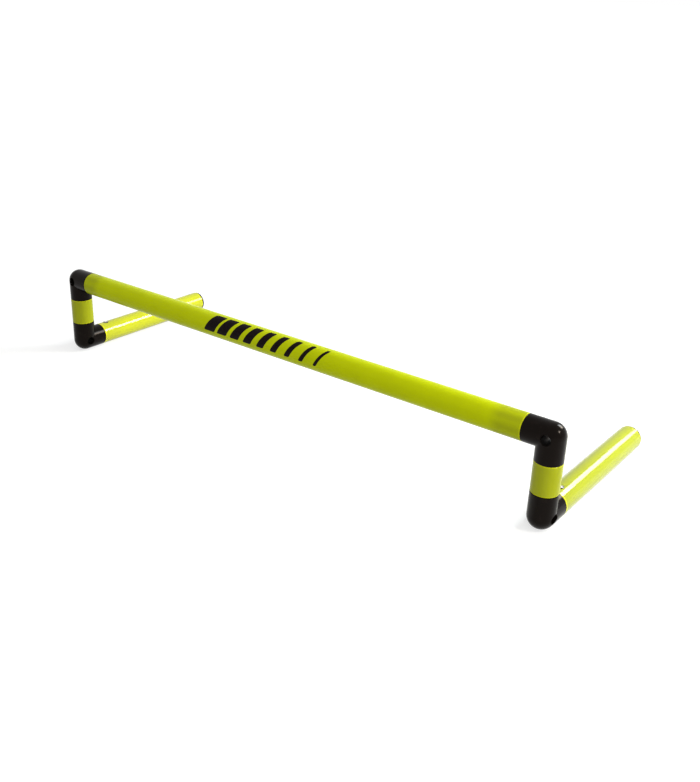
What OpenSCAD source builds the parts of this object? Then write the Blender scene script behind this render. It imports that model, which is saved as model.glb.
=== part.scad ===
// Speed hurdle: a low plastic tube hurdle with two L-shaped legs.
//
// The crossbar lies along X, the feet run back along +Y and Z points up.
// The origin is on the floor, under the middle of the hurdle's outline.
// Every tube is pushed over the spigots of moulded corner elbows. Each
// bottom elbow can be turned in its post, so that the feet fold flat.

/* [Tubes] */
// Outside diameter of the crossbar, post and foot tubes
tube_od = 31.5; // [28:0.5:40]
// Wall thickness of the tubes
tube_wall = 2; // [1.5:0.1:3]
// Cut length of the crossbar tube
bar_len = 710.5; // [300:0.5:1200]
// Cut length of each post tube
post_len = 36.2; // [36:0.1:260]
// Cut length of each foot tube
foot_len = 209; // [120:0.5:300]
// Bevel on both cut edges of a tube
tube_bevel = 0.4; // [0:0.1:0.6]

/* [Elbows] */
// Corner of the elbow's axes to each shoulder that a tube butts against
elbow_reach = 29; // [24:0.5:40]
// Rounding of the shoulder's outer rim
rim_round = 0.8; // [0.2:0.1:1.2]
// Diameter of the hole that crosses the elbow at its corner
cross_hole_d = 12; // [6:0.5:13]
// Bevel around both mouths of the cross hole
cross_hole_bevel = 0.4; // [0.2:0.1:1]
// Length of the spigot that holds the crossbar or a foot tube
long_spigot = 30; // [24:0.5:45]
// Length of the spigot that holds a post tube
post_spigot = 17.5; // [10:0.5:17.5]

/* [Spigot section] */
// Full round collar of a spigot, next to the shoulder
collar_len = 5; // [3:0.5:8]
// Number of grip ribs around a spigot
rib_count = 8; // [4:2:12]
// Width of one grip rib, as an angle round the spigot
rib_angle = 24; // [16:1:28]
// Depth of the pockets between the ribs
pocket_depth = 1.5; // [0.8:0.1:2]
// Thickness of the spigot's wall at the bottom of the pockets
spigot_wall = 2.6; // [2:0.1:3.5]
// Thickness of plastic between a spigot's hollow and the corner's axes
core_floor = 13; // [11:0.5:16]
// Length of the lead-in taper on a spigot's tip
lead_len = 2.5; // [1:0.5:4]
// Depth of the lead-in taper
lead_depth = 1; // [0.4:0.1:1.3]

/* [Foot screws] */
// Shoulder of the bottom elbow to the screw
screw_inset = 13; // [8:0.5:20]
// Diameter of the screw's countersunk head
head_d = 8.4; // [7:0.1:9]
// Height of the dome that the head shows above its rim
head_h = 0.9; // [0.6:0.1:1.4]
// Diameter of the screw's shank
shank_d = 3.9; // [3:0.1:4.5]
// Length of the screw, from the head's rim to the tip
screw_len = 10; // [8:0.5:13]
// Length of the pointed end of the shank
point_len = 2; // [1:0.5:3]
// Width of the cross recess in the head
recess_w = 1; // [0.8:0.1:1.4]
// Length of the cross recess
recess_len = 4.4; // [3:0.1:5]
// Depth of the cross recess
recess_depth = 1.4; // [0.8:0.1:1.8]

/* [Foot end plugs] */
// Thickness of the plug's lip, which stands past the tube's end
lip_t = 3.5; // [1.5:0.1:4.5]
// Height that the lip's edge lies below the tube's outside
lip_inset = 0.8; // [0.4:0.1:1.4]
// Rounding of the lip's outer edge
lip_round = 1; // [0.5:0.1:1.4]
// Depth that the plug reaches into the tube
plug_depth = 16; // [10:0.5:30]
// Wall of the plug's cup
plug_wall = 1.8; // [1.4:0.1:2.5]
// Number of sealing fins round the plug's cup
fin_count = 3; // [2:1:5]
// Height of a sealing fin
fin_h = 0.8; // [0.4:0.1:1.2]
// Thickness of a sealing fin at its root
fin_w = 1.6; // [1:0.1:2.5]

/* [Fits] */
// Radial gap between a spigot, plug or screw and its hole
slip_gap = 0.05; // [0.02:0.01:0.1]
// Gap between a post tube's lower end and the elbow that turns in it
swivel_gap = 0.3; // [0.2:0.05:0.5]
// Radial gap between a foot screw's shank and the hole in the tube
screw_gap = 0.25; // [0.1:0.05:0.4]

/* [Hidden] */
$fn = 96;

tube_r = tube_od / 2;
bore_r = tube_r - tube_wall;
spigot_r = bore_r - slip_gap;
core_r = spigot_r - pocket_depth - spigot_wall;
// Axis of a post, measured from the middle of the crossbar
post_x = bar_len / 2 + elbow_reach;
// Height of the foot tubes' axis, and of the crossbar's
low_z = tube_r;
high_z = low_z + 2 * elbow_reach + post_len + swivel_gap;
// Outline from front to back, and the posts' place in it
foot_end = elbow_reach + foot_len;
depth = tube_r + foot_end + lip_t;
post_y = tube_r - depth / 2;
screw_y = post_y + elbow_reach + screw_inset;
// Depth of the foot screw's sunk head, a cone of 90 degrees
sink_depth = (head_d - shank_d) / 2;
// Overlap of a cutting tool past the face that it cuts
cut = 1;
fluo = [0.74, 0.82, 0.03];
black = [0.08, 0.075, 0.07];
zinc = [0.82, 0.82, 0.80];

// Half section of a leg's outside: a round bar with a rounded far rim
module shoulder_profile() {
    square([tube_r, elbow_reach - rim_round]);
    square([tube_r - rim_round, elbow_reach]);
    translate([tube_r - rim_round, elbow_reach - rim_round])
        intersection() {
            circle(r = rim_round);
            square(rim_round);
        }
}

// Half section of a solid spigot that stands on the shoulder
module spigot_profile(len) {
    tip = elbow_reach + len;
    polygon([
        [0, elbow_reach - rim_round],
        [spigot_r, elbow_reach - rim_round],
        [spigot_r, tip - lead_len],
        [spigot_r - lead_depth, tip],
        [0, tip],
    ]);
}

// One leg of an elbow, from the corner up along Z
module leg(len) {
    rotate_extrude() {
        shoulder_profile();
        spigot_profile(len);
    }
}

// The hollow of a leg and the pockets between its spigot's ribs
module leg_cuts(len) {
    tip = elbow_reach + len;
    pocket_start = elbow_reach + collar_len;
    pocket_angle = 360 / rib_count - rib_angle;
    translate([0, 0, core_floor])
        cylinder(r = core_r, h = tip - core_floor + cut);
    for (i = [0 : rib_count - 1])
        rotate([0, 0, i * 360 / rib_count + rib_angle / 2])
            rotate_extrude(angle = pocket_angle)
                translate([spigot_r - pocket_depth, pocket_start])
                    square([pocket_depth + cut, tip - pocket_start + cut]);
}

// Hole across the corner, with a bevel round both of its mouths
module cross_hole() {
    mouth = tube_r - cross_hole_bevel;
    rotate([90, 0, 0]) {
        cylinder(d = cross_hole_d, h = 2 * (tube_r + cut), center = true);
        for (side = [0, 180])
            rotate([side, 0, 0])
                translate([0, 0, mouth])
                    cylinder(
                        d1 = cross_hole_d,
                        d2 = cross_hole_d + 2 * (cross_hole_bevel + cut),
                        h = cross_hole_bevel + cut
                    );
    }
}

// Moulded corner: the long spigot points along +X, the short one along +Z
module elbow() {
    difference() {
        union() {
            sphere(r = tube_r);
            rotate([0, 90, 0]) leg(long_spigot);
            leg(post_spigot);
        }
        rotate([0, 90, 0]) leg_cuts(long_spigot);
        leg_cuts(post_spigot);
        cross_hole();
    }
}

// Bottom elbow: its long spigot points back, and it takes the foot screw
module foot_elbow() {
    difference() {
        rotate([0, 0, 90]) elbow();
        translate([0, elbow_reach + screw_inset, core_r / 2])
            cylinder(d = shank_d + 2 * slip_gap, h = tube_r);
        translate([0, elbow_reach + screw_inset, tube_r]) countersink();
    }
}

// Plain tube along Z with bevelled outer edges
module tube(len) {
    rotate_extrude()
        polygon([
            [bore_r, 0],
            [tube_r - tube_bevel, 0],
            [tube_r, tube_bevel],
            [tube_r, len - tube_bevel],
            [tube_r - tube_bevel, len],
            [bore_r, len],
        ]);
}

// Foot tube along +Y, with the screw's sunk hole through its top wall
module foot_tube() {
    difference() {
        rotate([-90, 0, 0]) tube(foot_len);
        translate([0, screw_inset, 0])
            cylinder(d = shank_d + 2 * screw_gap, h = tube_r + cut);
        translate([0, screw_inset, tube_r]) countersink();
    }
}

// Room for the screw's sunk head, whose rim is level with the origin
module countersink() {
    translate([0, 0, -sink_depth])
        cylinder(
            d1 = shank_d + 2 * slip_gap,
            d2 = head_d + 2 * (slip_gap + cut),
            h = sink_depth + cut
        );
}

// Self-tapping screw along Z, its head's rim level with the origin
module foot_screw() {
    // Radius of the ball that the head's dome is a cap of
    dome_r = (pow(head_d / 2, 2) + pow(head_h, 2)) / (2 * head_h);
    difference() {
        union() {
            intersection() {
                translate([0, 0, head_h - dome_r]) sphere(r = dome_r);
                cylinder(d = head_d, h = head_h);
            }
            translate([0, 0, -sink_depth])
                cylinder(d1 = shank_d, d2 = head_d, h = sink_depth);
            translate([0, 0, point_len - screw_len])
                cylinder(d = shank_d, h = screw_len - point_len);
            translate([0, 0, -screw_len])
                cylinder(d1 = shank_d / 4, d2 = shank_d, h = point_len);
        }
        for (turn = [0, 90])
            rotate([0, 0, turn])
                translate([-recess_len / 2, -recess_w / 2, head_h - recess_depth])
                    cube([recess_len, recess_w, recess_depth + cut]);
    }
}

// End plug along Z: a cup with sealing fins below z = 0 and a lip above
module end_plug() {
    lip_r = tube_r - lip_inset;
    cup_r = spigot_r - fin_h;
    fin_pitch = plug_depth / (fin_count + 1);
    difference() {
        rotate_extrude() {
            square([lip_r, lip_t - lip_round]);
            square([lip_r - lip_round, lip_t]);
            translate([lip_r - lip_round, lip_t - lip_round])
                intersection() {
                    circle(r = lip_round);
                    square(lip_round);
                }
            translate([0, -plug_depth]) square([cup_r, plug_depth]);
            for (i = [1 : fin_count])
                translate([cup_r, -i * fin_pitch])
                    polygon([[-cut, -fin_w / 2], [0, -fin_w / 2], [fin_h, 0], [0, fin_w / 2], [-cut, fin_w / 2]]);
        }
        translate([0, 0, -plug_depth - cut])
            cylinder(r = cup_r - plug_wall, h = plug_depth + cut);
    }
}

// Places a piece of the left (-1) or right (+1) leg at that leg's post axis
module at_post(side, z) {
    translate([side * post_x, post_y, z]) children();
}

module crossbar_tube() {
    color(fluo)
        translate([-bar_len / 2, post_y, high_z])
            rotate([0, 90, 0]) tube(bar_len);
}

// The top elbow's long spigot points inwards and its short one down
module top_elbow(side) {
    color(black)
        at_post(side, high_z)
            rotate([180, 0, side > 0 ? 180 : 0]) elbow();
}

module post_tube(side) {
    color(fluo)
        at_post(side, low_z + elbow_reach + swivel_gap) tube(post_len);
}

module bottom_elbow(side) {
    color(black) at_post(side, low_z) foot_elbow();
}

module leg_foot_tube(side) {
    color(fluo)
        at_post(side, low_z)
            translate([0, elbow_reach, 0]) foot_tube();
}

module leg_foot_screw(side) {
    color(zinc)
        translate([side * post_x, screw_y, low_z + tube_r]) foot_screw();
}

module foot_end_plug(side) {
    color(black)
        at_post(side, low_z)
            translate([0, foot_end, 0]) rotate([-90, 0, 0]) end_plug();
}

crossbar_tube();
top_elbow(-1);  // top_elbow_left
top_elbow(1);  // top_elbow_right
post_tube(-1);  // post_tube_left
post_tube(1);  // post_tube_right
bottom_elbow(-1);  // bottom_elbow_left
bottom_elbow(1);  // bottom_elbow_right
leg_foot_tube(-1);  // foot_tube_left
leg_foot_tube(1);  // foot_tube_right
leg_foot_screw(-1);  // foot_screw_left
leg_foot_screw(1);  // foot_screw_right
foot_end_plug(-1);  // foot_end_plug_left
foot_end_plug(1);  // foot_end_plug_right
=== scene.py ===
import math

import bpy
from mathutils import Matrix, Vector


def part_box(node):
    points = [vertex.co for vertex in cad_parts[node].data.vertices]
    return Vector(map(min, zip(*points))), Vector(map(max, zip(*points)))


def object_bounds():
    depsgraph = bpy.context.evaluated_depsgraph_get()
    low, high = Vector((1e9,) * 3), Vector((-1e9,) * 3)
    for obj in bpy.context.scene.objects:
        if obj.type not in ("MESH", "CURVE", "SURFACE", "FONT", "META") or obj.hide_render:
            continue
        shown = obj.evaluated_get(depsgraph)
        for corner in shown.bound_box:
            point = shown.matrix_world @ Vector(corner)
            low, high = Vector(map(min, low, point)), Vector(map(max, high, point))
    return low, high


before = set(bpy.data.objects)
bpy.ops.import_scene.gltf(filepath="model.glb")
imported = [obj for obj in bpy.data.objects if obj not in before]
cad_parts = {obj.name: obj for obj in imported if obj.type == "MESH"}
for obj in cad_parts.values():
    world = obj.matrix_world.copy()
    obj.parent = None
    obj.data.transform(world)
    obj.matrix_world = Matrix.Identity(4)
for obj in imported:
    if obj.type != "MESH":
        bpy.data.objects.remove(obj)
cad_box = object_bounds()

# Looks of the speed hurdle: the finish of its tubes, elbows, plugs and
# screws, with a floor, lights and a camera. Metres, in the CAD frame.

X, Y, Z = 0, 1, 2

# Camera, solved from the edges of the tubes and elbows in the photograph.
# Angles are in degrees, and the lens and sensor in millimetres.
CAMERA_PLACE = (0.73038, -0.93899, 0.54566)
CAMERA_AZIMUTH = 38.687
CAMERA_ELEVATION = 23.223
CAMERA_ROLL = 1.342
CAMERA_LENS = 43.131
CAMERA_SENSOR = 36
CAMERA_SHIFT = (0.04606, -0.02532)
CAMERA_CLIP = (0.05, 100.0)

# Colours, as linear red, green and blue. The foot tubes are one stock: the
# left one's colour is painted a touch lighter and warmer and the right one's
# darker, as painted light and shade for how the lamps fall on each.
BAR_FLUO = (0.492, 0.566, 0.001)
BAR_OVER_SPIGOT = (0.350, 0.395, 0.006)
POST_FLUO = (0.342, 0.372, 0.007)
FOOT_FLUO_PAINTED_LIGHT_BY_SIDE = {"left": (0.490, 0.511, 0.008), "right": (0.346, 0.386, 0.008)}
FOOT_OVER_SPIGOT_PAINTED_LIGHT_BY_SIDE = {"left": (0.46, 0.48, 0.010), "right": (0.335, 0.370, 0.010)}
# Painted highlight for the rim at the tubes' cut ends
CUT_PAINTED_HIGHLIGHT = (0.92, 0.90, 0.004)
BLACK = (0.0018, 0.0010, 0.0006)
BLACK_DUSTY = (0.0048, 0.0030, 0.0022)
# Warm tint on the black plastic's reflections: painted warm lamp light
PAINTED_WARM_LAMP_TINT = (1.0, 0.86, 0.78)
INK = (0.0050, 0.0022, 0.0030)
INK_THIN = (0.011, 0.0065, 0.0065)
ZINC = (0.80, 0.78, 0.77)
ZINC_DULL = (0.62, 0.60, 0.60)
# Painted shade and dark reflection at the screws' rim
ZINC_PAINTED_DARK_RIM = (0.055, 0.045, 0.045)
FLOOR_COLOUR = (0.45, 0.45, 0.45)
WHITE = (1.0, 1.0, 1.0)

# Finish of each plastic: its gloss and its roughness, and for a tube also
# how strongly its cut ends take the painted highlight rim
BAR_FINISH = (0.04, 0.22, 0.3)
POST_FINISH = (0.10, 0.18, 0.3)
FOOT_FINISH = (0.34, 0.094, 1.0)
ELBOW_FINISH = (0.092, 0.20)
PLUG_FINISH = (0.20, 0.22)

# Noises, each as its grains in a metre and its detail. Further down, a name
# that ends in RANGE holds the start and end of a smooth step.
MOTTLE = (38.0, 4.0)
SPECKLE = (900.0, 2.0)
STREAK = (700.0, 2.0)
INK_WEAR = (420.0, 4.0)
CLOUD = (55.0, 4.0)
DUST = (160.0, 5.0)
GRAIN = (2300.0, 2.0)
FLOW = (30.0, 1.0)
DULL_PATCHES = (700.0, 4.0)
TURNING_MARKS = (3000.0, 2.0)
# Most of a noise's values lie between these two
NOISE_LOW = 0.3
NOISE_HIGH = 0.7

# Tubes: the painted highlight, a bright rim painted at a cut end; the soft
# edge of the shade over a spigot; and how far past each spigot's tip the
# crossbar is shaded. The spigot's ribs show through the wall as faint stripes.
CUT_HIGHLIGHT_WIDTH = 0.0018
SPIGOT_BLUR = 0.017
BAR_SHADE_PAST_TIP = (-0.004, 0.003)
RIBS = 8
RIB_SHADE = 0.16

# How far the noises move a tube's tone, roughness and surface. The place that
# the streaks are read at is squeezed along the tube, which draws them out.
MOTTLE_TONE = 0.025
SPECKLE_TONE = 0.0175
STREAK_TONE = 0.01
MOTTLE_ROUGH = 0.02
STREAK_ROUGH = 0.025
SPECKLE_HEIGHT = 0.5
STREAK_SQUEEZE = 0.02
TUBE_BUMP = 0.000007

# Print on the crossbar: a row of slanted bars that grow thinner, laid on the
# upper front of the tube. Arc is measured round the tube, from its top line.
PRINT_FROM = -0.101
PRINT_BARS = 9
PRINT_PITCH = 0.0222
PRINT_FIRST_HALF = 0.0093
PRINT_HALF_STEP = 0.00085
PRINT_SLANT = -0.55
PRINT_ARC_MIDDLE = 0.0155
PRINT_ARC_HALF = 0.0128
PRINT_ROUND = 0.0022
PRINT_SOFT = 0.00015
INK_WEAR_RANGE = (0.42, 0.72)
INK_ROUGH = 0.06

# Elbows and plugs: how far the noises move their roughness and surface. The
# elbows' cross holes are duller inside, up to this distance from their axis.
CLOUD_ROUGH = 0.04
DUST_RANGE = (0.50, 0.78)
DUST_ROUGH = 0.05
GRAIN_HEIGHT = 0.22
FLOW_HEIGHT = 4.0
BLACK_BUMP = 0.00003
CROSS_HOLE_RANGE = (0.0061, 0.0065)
CROSS_HOLE_ROUGH = 0.35

# Screws: dull patches, turned rings in radians a metre, and the dark rim, a
# painted shade and dark reflection, by distance from the screw's axis
DULL_RANGE = (0.45, 0.70)
DULL_SHARE = 0.6
ZINC_ROUGH = 0.20
DULL_ROUGH = 0.12
RINGS = 26000.0
PAINTED_DARK_RIM_RANGE = (0.0022, 0.0030)
ZINC_BUMP = 0.000004

# Floor and surroundings. The floor turns plain white over its range of
# distances from the hurdle's middle.
FLOOR_HALF = 20.0
FLOOR_DROP = 0.0001
FLOOR_GLOW = 0.62
FLOOR_PLAIN_RANGE = (0.9, 2.4)
WORLD_LIGHT = 0.55
WORLD_SHOWN = 1.0

# Lights: name, place, the point it faces, size, level and colour. The window
# stands over the right-hand back. It has a cool and a warm pane, each with a
# nearer part and a dimmer one further off. The lamp is small, and the others
# are large soft boxes.
MIDDLE = (0.0, 0.0, 0.06)
ALONG_FEET = (0.0, 1.0, 0.0)
COOL = (0.84, 0.95, 1.0)
WARM = (1.0, 0.95, 0.85)
LAMP_WHITE = (1.0, 0.97, 0.90)
NEAR_LEVEL = 29.0
FAR_LEVEL = 14.0
LIGHTS = [
    ("near_cool", (0.581, 0.97, 1.003), (0.002, 0.97, 0.188), (0.23, 0.50), NEAR_LEVEL, COOL),
    ("near_warm", (0.805, 0.97, 0.843), (0.226, 0.97, 0.028), (0.32, 0.50), NEAR_LEVEL, WARM),
    ("far_cool", (0.581, 1.49, 1.003), (0.002, 1.49, 0.188), (0.23, 0.54), FAR_LEVEL, COOL),
    ("far_warm", (0.805, 1.49, 0.843), (0.226, 1.49, 0.028), (0.32, 0.54), FAR_LEVEL, WARM),
    ("lamp", (1.206, 0.008, 0.850), (0.394, -0.119, 0.120), (0.18, 0.18), 60.0, LAMP_WHITE),
    ("side", (4.3, -0.2, 1.3), MIDDLE, (2.2, 2.2), 2.6, WHITE),
    ("side_back", (3.4, 1.8, 1.35), MIDDLE, (2.2, 2.0), 2.2, WHITE),
    ("front", (2.9, -3.15, 1.7), MIDDLE, (2.8, 1.8), 2.7, WHITE),
]

# The soft boxes light the hurdle and leave no shine of their own on it
MATT_LIGHTS = ("side", "side_back", "front")


class Graph:
    """The nodes of one material, made by short calls."""

    def __init__(self, name):
        self.material = bpy.data.materials.new(name)
        self.material.use_nodes = True
        self.tree = self.material.node_tree
        self.tree.nodes.clear()
        coordinates = self.node("ShaderNodeTexCoord")
        # The point's place in the CAD frame at rest, whole and as x, y and z
        self.vector = coordinates.outputs["Object"]
        apart = self.node("ShaderNodeSeparateXYZ", {"Vector": self.vector})
        self.place = [apart.outputs[i] for i in range(3)]

    def node(self, kind, inputs=(), **settings):
        made = self.tree.nodes.new(kind)
        for name, value in settings.items():
            setattr(made, name, value)
        for name, value in dict(inputs).items():
            self.put(made.inputs[name], value)
        return made

    def put(self, socket, value):
        if isinstance(value, bpy.types.NodeSocket):
            self.tree.links.new(value, socket)
        elif socket.type == "RGBA" and len(value) == 3:
            socket.default_value = (*value, 1.0)
        else:
            socket.default_value = value

    def math(self, operation, a, b=0.0):
        made = self.node("ShaderNodeMath", operation=operation)
        self.put(made.inputs[0], a)
        self.put(made.inputs[1], b)
        return made.outputs[0]

    def add(self, a, b):
        return self.math("ADD", a, b)

    def minus(self, a, b):
        return self.math("SUBTRACT", a, b)

    def times(self, a, b):
        return self.math("MULTIPLY", a, b)

    def larger(self, a, b):
        return self.math("MAXIMUM", a, b)

    def smaller(self, a, b):
        return self.math("MINIMUM", a, b)

    def length(self, a, b):
        return self.math("SQRT", self.add(self.times(a, a), self.times(b, b)))

    def step(self, value, low, high):
        """0 where value is below low, 1 above high, and smooth between them."""
        made = self.node("ShaderNodeMapRange", interpolation_type="SMOOTHSTEP")
        self.put(made.inputs["Value"], value)
        self.put(made.inputs["From Min"], low)
        self.put(made.inputs["From Max"], high)
        return made.outputs["Result"]

    def around(self, noise, middle, swing):
        """Takes most of a noise's values to middle, give or take swing."""
        made = self.node("ShaderNodeMapRange")
        self.put(made.inputs["Value"], noise)
        self.put(made.inputs["From Min"], NOISE_LOW)
        self.put(made.inputs["From Max"], NOISE_HIGH)
        self.put(made.inputs["To Min"], middle - swing)
        self.put(made.inputs["To Max"], middle + swing)
        return made.outputs["Result"]

    def mix(self, share, a, b, blend="MIX"):
        made = self.node("ShaderNodeMix", data_type="RGBA", blend_type=blend)
        self.put(made.inputs["Factor"], share)
        # A Mix node has a socket A and B for each kind of data; colours are 6 and 7
        self.put(made.inputs[6], a)
        self.put(made.inputs[7], b)
        return made.outputs[2]

    def noise(self, scale, detail, stretch=None):
        """Noise of so many grains a metre; stretch scales each axis of the place."""
        vector = self.vector
        if stretch is not None:
            stretched = self.node("ShaderNodeVectorMath", operation="MULTIPLY")
            self.put(stretched.inputs[0], vector)
            self.put(stretched.inputs[1], stretch)
            vector = stretched.outputs[0]
        made = self.node(
            "ShaderNodeTexNoise", {"Vector": vector, "Scale": scale, "Detail": detail}
        )
        return made.outputs["Fac"]

    def bump(self, height, depth):
        made = self.node(
            "ShaderNodeBump", {"Height": height, "Distance": depth, "Strength": 1.0}
        )
        return made.outputs["Normal"]

    def round_axis(self, axis, centre):
        """Angle round a tube, from its top or a post's back towards the front or left."""
        first, second = [i for i in range(3) if i != axis]
        across = self.minus(centre[first], self.place[first])
        up = self.minus(self.place[second], centre[second])
        return self.math("ARCTAN2", across, up)

    def finish(self, **inputs):
        """Ends the material with a Principled shader that has these inputs."""
        shader = self.node("ShaderNodeBsdfPrincipled")
        for name, value in inputs.items():
            self.put(shader.inputs[name.replace("_", " ")], value)
        return self.surface(shader)

    def surface(self, shader):
        output = self.node("ShaderNodeOutputMaterial")
        self.tree.links.new(shader.outputs[0], output.inputs["Surface"])
        return self.material


def printed(graph, angle, radius):
    """1 on the ink of the slanted bars, and 0 off it."""
    arc = graph.minus(graph.times(angle, radius), PRINT_ARC_MIDDLE)
    lean = graph.times(arc, PRINT_SLANT)
    along = graph.minus(graph.minus(graph.place[X], PRINT_FROM), lean)
    turn = graph.math("DIVIDE", along, PRINT_PITCH)
    number = graph.math("FLOOR", turn)
    local = graph.times(graph.minus(turn, number), PRINT_PITCH)
    offset = graph.math("ABSOLUTE", graph.minus(local, PRINT_PITCH / 2))
    half = graph.minus(PRINT_FIRST_HALF, graph.times(number, PRINT_HALF_STEP))
    # Signed distance from a bar with rounded corners
    past_side = graph.add(graph.minus(offset, half), PRINT_ROUND)
    past_end = graph.minus(graph.math("ABSOLUTE", arc), PRINT_ARC_HALF - PRINT_ROUND)
    corner = graph.length(graph.larger(past_side, 0.0), graph.larger(past_end, 0.0))
    inner = graph.smaller(graph.larger(past_side, past_end), 0.0)
    edge = graph.minus(graph.add(corner, inner), PRINT_ROUND)
    ink = graph.minus(1.0, graph.step(edge, -PRINT_SOFT, PRINT_SOFT))
    # The bars are numbered from 0, and no ink lies before the first or past the last
    first = graph.math("GREATER_THAN", number, -0.5)
    last = graph.math("LESS_THAN", number, PRINT_BARS - 0.5)
    return graph.times(ink, graph.times(first, last))


def tube_material(tube, axis, covered, colours, finish, with_print):
    """Extruded fluorescent tube: darker over a spigot, with a painted highlight rim at each cut
    end.

    Covered holds how much of the tube, from each end, lies over a spigot or plug."""
    low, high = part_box(tube)
    centre = [(low[i] + high[i]) / 2 for i in range(3)]
    across = (axis + 1) % 3
    radius = (high[across] - low[across]) / 2
    plain, over_spigot = colours
    gloss, roughness, glow = finish
    graph = Graph(tube + "_finish")
    angle = graph.round_axis(axis, centre)

    from_low = graph.minus(graph.place[axis], low[axis])
    from_high = graph.minus(high[axis], graph.place[axis])
    shares = []
    for distance, length in ((from_low, covered[0]), (from_high, covered[1])):
        bare = graph.step(distance, length - SPIGOT_BLUR / 2, length + SPIGOT_BLUR / 2)
        shares.append(graph.minus(1.0, bare))
    ribs = graph.math("COSINE", graph.times(angle, RIBS))
    shade = graph.add(1.0 - RIB_SHADE, graph.times(ribs, RIB_SHADE))
    over = graph.times(graph.larger(*shares), shade)
    # Painted highlight: a bright rim painted into the colour at each cut end
    nearest = graph.smaller(from_low, from_high)
    painted_rim = graph.minus(1.0, graph.step(nearest, 0.0, CUT_HIGHLIGHT_WIDTH))

    mottle = graph.noise(*MOTTLE)
    speckle = graph.noise(*SPECKLE)
    stretch = [1.0, 1.0, 1.0]
    stretch[axis] = STREAK_SQUEEZE
    streak = graph.noise(*STREAK, tuple(stretch))
    tone = graph.times(
        graph.around(mottle, 1.0, MOTTLE_TONE), graph.around(speckle, 1.0, SPECKLE_TONE)
    )
    tone = graph.times(tone, graph.around(streak, 1.0, STREAK_TONE))
    grey = graph.node("ShaderNodeCombineColor", {"Red": tone, "Green": tone, "Blue": tone})
    colour = graph.mix(over, plain, over_spigot)
    colour = graph.mix(graph.times(painted_rim, glow), colour, CUT_PAINTED_HIGHLIGHT)
    colour = graph.mix(1.0, colour, grey.outputs[0], "MULTIPLY")
    rough = graph.around(streak, roughness, STREAK_ROUGH)
    rough = graph.add(rough, graph.around(mottle, 0.0, MOTTLE_ROUGH))
    height = graph.add(streak, graph.times(speckle, SPECKLE_HEIGHT))
    if with_print:
        ink = printed(graph, angle, radius)
        thin = graph.step(graph.noise(*INK_WEAR), *INK_WEAR_RANGE)
        colour = graph.mix(ink, colour, graph.mix(thin, INK, INK_THIN))
        rough = graph.add(rough, graph.times(ink, INK_ROUGH))
        height = graph.add(height, ink)
    return graph.finish(
        Base_Color=colour,
        Roughness=rough,
        Specular_IOR_Level=gloss,
        Normal=graph.bump(height, TUBE_BUMP),
    )


def in_cross_hole(graph):
    """1 on the wall of a cross hole, along y in the top elbows and x in the bottom ones."""
    low, high = cad_box
    tube_low, tube_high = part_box("crossbar_tube")
    radius = (tube_high[Z] - tube_low[Z]) / 2
    sideways = graph.minus(graph.math("ABSOLUTE", graph.place[X]), high[X] - radius)
    depth = graph.minus(graph.place[Y], low[Y] + radius)
    distances = []
    for flat, level in ((sideways, high[Z] - radius), (depth, low[Z] + radius)):
        rise = graph.minus(graph.place[Z], level)
        distances.append(graph.length(flat, rise))
    nearest = graph.smaller(*distances)
    return graph.minus(1.0, graph.step(nearest, *CROSS_HOLE_RANGE))


def black_material(name, gloss, roughness):
    """Black moulded plastic: a fine spark-eroded grain, with duller and dusty parts."""
    graph = Graph(name)
    cloud = graph.noise(*CLOUD)
    dust = graph.step(graph.noise(*DUST), *DUST_RANGE)
    grain = graph.noise(*GRAIN)
    flow = graph.noise(*FLOW)
    rough = graph.add(
        graph.around(cloud, roughness, CLOUD_ROUGH), graph.times(dust, DUST_ROUGH)
    )
    rough = graph.add(rough, graph.times(in_cross_hole(graph), CROSS_HOLE_ROUGH))
    height = graph.add(graph.times(grain, GRAIN_HEIGHT), graph.times(flow, FLOW_HEIGHT))
    return graph.finish(
        Base_Color=graph.mix(dust, BLACK, BLACK_DUSTY),
        Roughness=rough,
        Specular_IOR_Level=gloss,
        # The reflections carry a painted warm lamp tint
        Specular_Tint=PAINTED_WARM_LAMP_TINT,
        Normal=graph.bump(height, BLACK_BUMP),
    )


def zinc_material(screw):
    """Bright zinc plate, turned, duller in patches, with painted shade and dark reflection
    towards its rim.
    """
    low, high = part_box(screw)
    graph = Graph(screw + "_zinc")
    x = graph.minus(graph.place[X], (low[X] + high[X]) / 2)
    y = graph.minus(graph.place[Y], (low[Y] + high[Y]) / 2)
    from_axis = graph.length(x, y)
    dull = graph.step(graph.noise(*DULL_PATCHES), *DULL_RANGE)
    colour = graph.mix(graph.times(dull, DULL_SHARE), ZINC, ZINC_DULL)
    # Painted shade and dark reflection towards the head's rim
    colour = graph.mix(graph.step(from_axis, *PAINTED_DARK_RIM_RANGE), colour, ZINC_PAINTED_DARK_RIM)
    rings = graph.math("SINE", graph.times(from_axis, RINGS))
    height = graph.add(rings, graph.noise(*TURNING_MARKS))
    return graph.finish(
        Base_Color=colour,
        Metallic=1.0,
        Roughness=graph.add(ZINC_ROUGH, graph.times(dull, DULL_ROUGH)),
        Normal=graph.bump(height, ZINC_BUMP),
    )


def seen_plainly(tree):
    """1 for a ray from the camera, a mirror or glass, and 0 for one that gathers light."""
    light_path = tree.nodes.new("ShaderNodeLightPath")
    seen = light_path.outputs["Is Camera Ray"]
    for ray in ("Is Glossy Ray", "Is Transmission Ray"):
        wider = tree.nodes.new("ShaderNodeMath")
        wider.operation = "MAXIMUM"
        tree.links.new(seen, wider.inputs[0])
        tree.links.new(light_path.outputs[ray], wider.inputs[1])
        seen = wider.outputs[0]
    return seen


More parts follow.
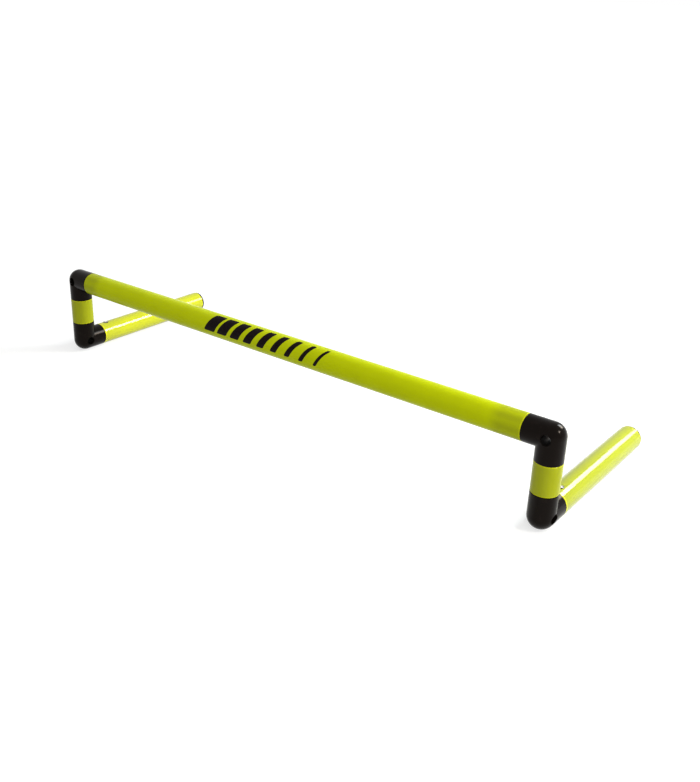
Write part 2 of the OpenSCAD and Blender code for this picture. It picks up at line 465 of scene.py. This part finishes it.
def floor_material(name):
    """Pale floor that is white to the camera, and keeps the shadow round the hurdle."""
    graph = Graph(name)
    away = graph.node("ShaderNodeVectorMath", {"Vector": graph.vector}, operation="LENGTH")
    plain = graph.step(away.outputs["Value"], *FLOOR_PLAIN_RANGE)
    strength = graph.add(FLOOR_GLOW, graph.times(plain, 1.0 - FLOOR_GLOW))
    strength = graph.times(seen_plainly(graph.tree), strength)
    diffuse = graph.node("ShaderNodeBsdfDiffuse", {"Color": FLOOR_COLOUR})
    glow = graph.node("ShaderNodeEmission", {"Color": WHITE, "Strength": strength})
    both = graph.node("ShaderNodeAddShader")
    graph.tree.links.new(diffuse.outputs[0], both.inputs[0])
    graph.tree.links.new(glow.outputs[0], both.inputs[1])
    return graph.surface(both)


def give(node, material):
    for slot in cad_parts[node].material_slots:
        slot.material = material


def reach(tube, axis, neighbour, at_low_end):
    """Length of a neighbour's spigot or plug inside a tube's end."""
    tube_low, tube_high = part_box(tube)
    low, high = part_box(neighbour)
    if at_low_end:
        return high[axis] - tube_low[axis]
    return tube_high[axis] - low[axis]


def dress_tube(tube, axis, neighbours, colours, finish, past=(0.0, 0.0), with_print=False):
    """Neighbours sit in the low and high end; past lengthens the shade over each."""
    covered = (
        reach(tube, axis, neighbours[0], True) + past[0],
        reach(tube, axis, neighbours[1], False) + past[1],
    )
    give(tube, tube_material(tube, axis, covered, colours, finish, with_print))


def dress():
    elbow_black = black_material("elbow_black", *ELBOW_FINISH)
    plug_black = black_material("plug_black", *PLUG_FINISH)
    corners = ("top_elbow_left", "top_elbow_right")
    bar = (BAR_FLUO, BAR_OVER_SPIGOT)
    post = (POST_FLUO, POST_FLUO)
    dress_tube("crossbar_tube", X, corners, bar, BAR_FINISH, BAR_SHADE_PAST_TIP, with_print=True)
    for side in ("left", "right"):
        upper = "top_elbow_" + side
        lower = "bottom_elbow_" + side
        plug = "foot_end_plug_" + side
        screw = "foot_screw_" + side
        # Each foot tube's colours carry painted light and shade for its side
        foot = (FOOT_FLUO_PAINTED_LIGHT_BY_SIDE[side], FOOT_OVER_SPIGOT_PAINTED_LIGHT_BY_SIDE[side])
        dress_tube("post_tube_" + side, Z, (lower, upper), post, POST_FINISH)
        dress_tube("foot_tube_" + side, Y, (lower, plug), foot, FOOT_FINISH)
        give(upper, elbow_black)
        give(lower, elbow_black)
        give(plug, plug_black)
        give(screw, zinc_material(screw))


def make_floor():
    half = FLOOR_HALF
    mesh = bpy.data.meshes.new("floor")
    corners = [(-half, -half), (half, -half), (half, half), (-half, half)]
    mesh.from_pydata([(x, y, -FLOOR_DROP) for x, y in corners], [], [(0, 1, 2, 3)])
    floor = bpy.data.objects.new("floor", mesh)
    bpy.context.scene.collection.objects.link(floor)
    mesh.materials.append(floor_material("floor_paper"))


def make_world():
    """Surroundings that show as plain white, and light the hurdle less strongly."""
    world = bpy.data.worlds.new("studio")
    bpy.context.scene.world = world
    world.use_nodes = True
    tree = world.node_tree
    tree.nodes.clear()
    mix = tree.nodes.new("ShaderNodeMixShader")
    tree.links.new(seen_plainly(tree), mix.inputs[0])
    for socket, strength in ((mix.inputs[1], WORLD_LIGHT), (mix.inputs[2], WORLD_SHOWN)):
        background = tree.nodes.new("ShaderNodeBackground")
        background.inputs["Strength"].default_value = strength
        background.inputs["Color"].default_value = (*WHITE, 1.0)
        tree.links.new(background.outputs[0], socket)
    output = tree.nodes.new("ShaderNodeOutputWorld")
    tree.links.new(mix.outputs[0], output.inputs["Surface"])


def make_light(name, place, facing, size, level, colour):
    """Flat light; at level 1 its face is as bright as the white surroundings.

    Its width runs across the foot tubes, so that it draws an even line along them."""
    back = (Vector(place) - Vector(facing)).normalized()
    across = Vector(ALONG_FEET).cross(back).normalized()
    turn = Matrix((across, back.cross(across), back)).transposed().to_4x4()
    data = bpy.data.lights.new(name, "AREA")
    data.shape = "RECTANGLE"
    data.size, data.size_y = size
    data.energy = level * math.pi * data.size * data.size_y
    data.color = colour
    light = bpy.data.objects.new(name, data)
    light.matrix_world = Matrix.Translation(place) @ turn
    light.visible_camera = False
    light.visible_glossy = name not in MATT_LIGHTS
    bpy.context.scene.collection.objects.link(light)


def make_camera():
    azimuth = math.radians(CAMERA_AZIMUTH)
    elevation = math.radians(CAMERA_ELEVATION)
    roll = math.radians(CAMERA_ROLL)
    back = Vector(
        (
            math.sin(azimuth) * math.cos(elevation),
            -math.cos(azimuth) * math.cos(elevation),
            math.sin(elevation),
        )
    )
    level = Vector((math.cos(azimuth), math.sin(azimuth), 0.0))
    up = back.cross(level)
    right = math.cos(roll) * level + math.sin(roll) * up
    up = back.cross(right)
    turn = Matrix((right, up, back)).transposed().to_4x4()
    data = bpy.data.cameras.new("camera")
    data.sensor_width = CAMERA_SENSOR
    data.lens = CAMERA_LENS
    data.shift_x, data.shift_y = CAMERA_SHIFT
    data.clip_start, data.clip_end = CAMERA_CLIP
    camera = bpy.data.objects.new("camera", data)
    camera.matrix_world = Matrix.Translation(CAMERA_PLACE) @ turn
    bpy.context.scene.collection.objects.link(camera)
    bpy.context.scene.camera = camera


def main():
    scene = bpy.context.scene
    scene.view_settings.view_transform = "Standard"
    make_camera()
    dress()
    make_floor()
    make_world()
    for light in LIGHTS:
        make_light(*light)


main()
